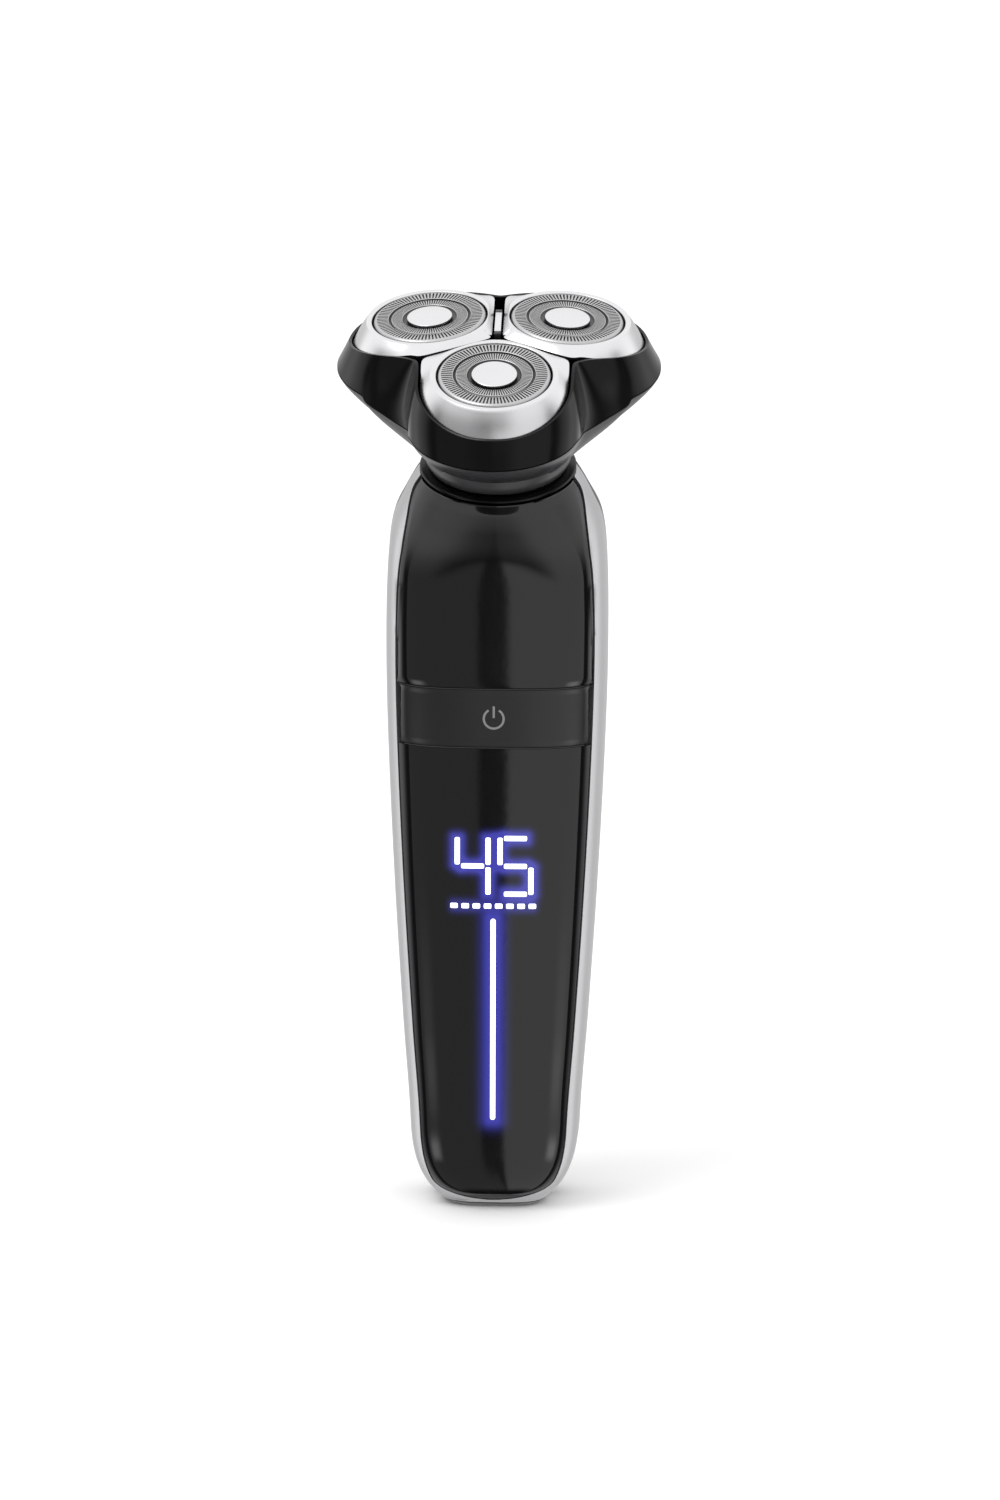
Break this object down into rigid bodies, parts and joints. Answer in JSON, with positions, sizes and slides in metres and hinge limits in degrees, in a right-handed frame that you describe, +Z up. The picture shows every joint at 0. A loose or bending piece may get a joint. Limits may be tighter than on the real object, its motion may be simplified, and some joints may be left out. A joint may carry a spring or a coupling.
{
  "type": "electric shaver",
  "caption": "Cordless rotary shaver with a tapered handle, a lit front display and a forward-tilted three-lobed shaving head on a round neck.",
  "frame": {"origin": "middle of the flat base that the shaver stands on", "axes": "+Z up along the handle, the front with the display faces -Y, +X to the right seen from the front"},
  "size_m": [0.0618, 0.0559, 0.1761],
  "materials": {
    "gloss_black": "high gloss black",
    "satin_black": "satin moulded black",
    "grey_plastic": "fine satin dark grey",
    "satin_silver": "satin silver lacquer",
    "bright_silver": "bright satin chrome",
    "cap_steel": "ground steel",
    "steel": "machined steel",
    "rubber": "soft moulded rubber",
    "gear_plastic": "natural engineering plastic",
    "board_green": "solder mask",
    "cell_wrap": "shrink wrap",
    "brass": "bright",
    "display_light": "lit from behind"
  },
  "bodies": {
    "handle": {"front_panel_upper": "gloss_black", "front_panel_lower": "gloss_black", "side_frame": "satin_silver", "rear_cover": "satin_black", "rear_grip": "rubber", "base_cap": "satin_black", "charge_socket": "satin_black", "charge_pin_left": "brass", "charge_pin_right": "brass", "neck_collar": "grey_plastic", "neck_deck": "satin_black", "neck_seal": "rubber", "chassis": "grey_plastic", "battery_cell": "cell_wrap", "circuit_board": "board_green", "display_module": "satin_black", "light_guide": "display_light", "tact_switch": "satin_black", "motor_can": "steel", "motor_mount": "grey_plastic", "chassis_screw_1": "steel", "chassis_screw_2": "steel", "chassis_screw_3": "steel", "chassis_screw_4": "steel"},
    "button": {"power_button": "satin_black"},
    "drive": {"drive_shaft": "steel", "drive_coupling": "gear_plastic", "motor_rotor": "steel"},
    "shaving_unit": {"hair_chamber": "grey_plastic", "neck_skirt": "satin_black", "gear_plate": "satin_black"},
    "gear_centre": {"centre_gear": "gear_plastic"},
    "holder": {"holder_shell": "gloss_black", "retaining_frame": "satin_black", "centre_bridge": "bright_silver"},
    "spindle_body_front": {"spindle_gear_front": "gear_plastic", "spindle_front": "steel"},
    "pod_front": {"head_plate_front": "bright_silver", "pod_ring_front": "satin_black"},
    "cap_body_front": {"shaving_cap_front": "cap_steel", "cap_disc_front": "bright_silver"},
    "cutter_body_front": {"cutter_front": "steel"},
    "spindle_body_right": {"spindle_gear_right": "gear_plastic", "spindle_right": "steel"},
    "pod_right": {"head_plate_right": "bright_silver", "pod_ring_right": "satin_black"},
    "cap_body_right": {"shaving_cap_right": "cap_steel", "cap_disc_right": "bright_silver"},
    "cutter_body_right": {"cutter_right": "steel"},
    "spindle_body_left": {"spindle_gear_left": "gear_plastic", "spindle_left": "steel"},
    "pod_left": {"head_plate_left": "bright_silver", "pod_ring_left": "satin_black"},
    "cap_body_left": {"shaving_cap_left": "cap_steel", "cap_disc_left": "bright_silver"},
    "cutter_body_left": {"cutter_left": "steel"}
  },
  "joints": [
    {"name": "power_button_press", "type": "slide", "parent": "handle", "child": "button", "axis": [0, 1, 0], "range_m": [0, 0.0004], "stiffness_N_per_m": 1500, "springref_m": -0.0006},
    {"name": "motor_spin", "type": "hinge", "parent": "handle", "child": "drive", "pos_m": [0, 0, 0.1446], "axis": [0, -0.3007, 0.9537], "continuous": true},
    {"name": "shaving_unit_pull", "type": "slide", "parent": "handle", "child": "shaving_unit", "axis": [0, -0.3007, 0.9537], "range_m": [0, 0.012]},
    {"name": "centre_gear_spin", "type": "hinge", "parent": "shaving_unit", "child": "gear_centre", "pos_m": [0, -0.0018, 0.15032], "axis": [0, -0.3007, 0.9537], "continuous": true},
    {"name": "holder_lift", "type": "slide", "parent": "shaving_unit", "child": "holder", "axis": [0, -0.3007, 0.9537], "range_m": [0, 0.02]},
    {"name": "spindle_spin_front", "type": "hinge", "parent": "shaving_unit", "child": "spindle_body_front", "pos_m": [0, -0.01587, 0.14589], "axis": [0, -0.3007, 0.9537], "continuous": true},
    {"name": "pod_tilt_front", "type": "hinge", "parent": "holder", "child": "pod_front", "pos_m": [0, -0.02029, 0.16022], "axis": [1, 0, 0], "range_deg": [-3, 3], "stiffness_Nm_per_rad": 0.02},
    {"name": "cap_float_front", "type": "slide", "parent": "pod_front", "child": "cap_body_front", "axis": [0, -0.3827, 0.9239], "range_m": [-0.0012, 0], "stiffness_N_per_m": 400, "springref_m": 0.0012},
    {"name": "cutter_spin_front", "type": "hinge", "parent": "cap_body_front", "child": "cutter_body_front", "pos_m": [0, -0.02029, 0.16022], "axis": [0, -0.3827, 0.9239], "continuous": true},
    {"name": "spindle_spin_right", "type": "hinge", "parent": "shaving_unit", "child": "spindle_body_right", "pos_m": [0.01277, 0.00523, 0.15254], "axis": [0, -0.3007, 0.9537], "continuous": true},
    {"name": "pod_tilt_right", "type": "hinge", "parent": "holder", "child": "pod_right", "pos_m": [0.01269, 0.00067, 0.16683], "axis": [-0.5, 0.8259, 0.2604], "range_deg": [-3, 3], "stiffness_Nm_per_rad": 0.02},
    {"name": "cap_float_right", "type": "slide", "parent": "pod_right", "child": "cap_body_right", "axis": [0.0755, -0.258, 0.9632], "range_m": [-0.0012, 0], "stiffness_N_per_m": 400, "springref_m": 0.0012},
    {"name": "cutter_spin_right", "type": "hinge", "parent": "cap_body_right", "child": "cutter_body_right", "pos_m": [0.01269, 0.00067, 0.16683], "axis": [0.0755, -0.258, 0.9632], "continuous": true},
    {"name": "spindle_spin_left", "type": "hinge", "parent": "shaving_unit", "child": "spindle_body_left", "pos_m": [-0.01277, 0.00523, 0.15254], "axis": [0, -0.3007, 0.9537], "continuous": true},
    {"name": "pod_tilt_left", "type": "hinge", "parent": "holder", "child": "pod_left", "pos_m": [-0.01269, 0.00067, 0.16683], "axis": [-0.5, -0.8259, -0.2604], "range_deg": [-3, 3], "stiffness_Nm_per_rad": 0.02},
    {"name": "cap_float_left", "type": "slide", "parent": "pod_left", "child": "cap_body_left", "axis": [-0.0755, -0.258, 0.9632], "range_m": [-0.0012, 0], "stiffness_N_per_m": 400, "springref_m": 0.0012},
    {"name": "cutter_spin_left", "type": "hinge", "parent": "cap_body_left", "child": "cutter_body_left", "pos_m": [-0.01269, 0.00067, 0.16683], "axis": [-0.0755, -0.258, 0.9632], "continuous": true}
  ],
  "couplings": [
    {"joint": "centre_gear_spin", "follows": "motor_spin", "ratio": 1},
    {"joint": "spindle_spin_front", "follows": "motor_spin", "ratio": -2.2},
    {"joint": "cutter_spin_front", "follows": "motor_spin", "ratio": -2.2},
    {"joint": "spindle_spin_right", "follows": "motor_spin", "ratio": -2.2},
    {"joint": "cutter_spin_right", "follows": "motor_spin", "ratio": -2.2},
    {"joint": "spindle_spin_left", "follows": "motor_spin", "ratio": -2.2},
    {"joint": "cutter_spin_left", "follows": "motor_spin", "ratio": -2.2}
  ]
}
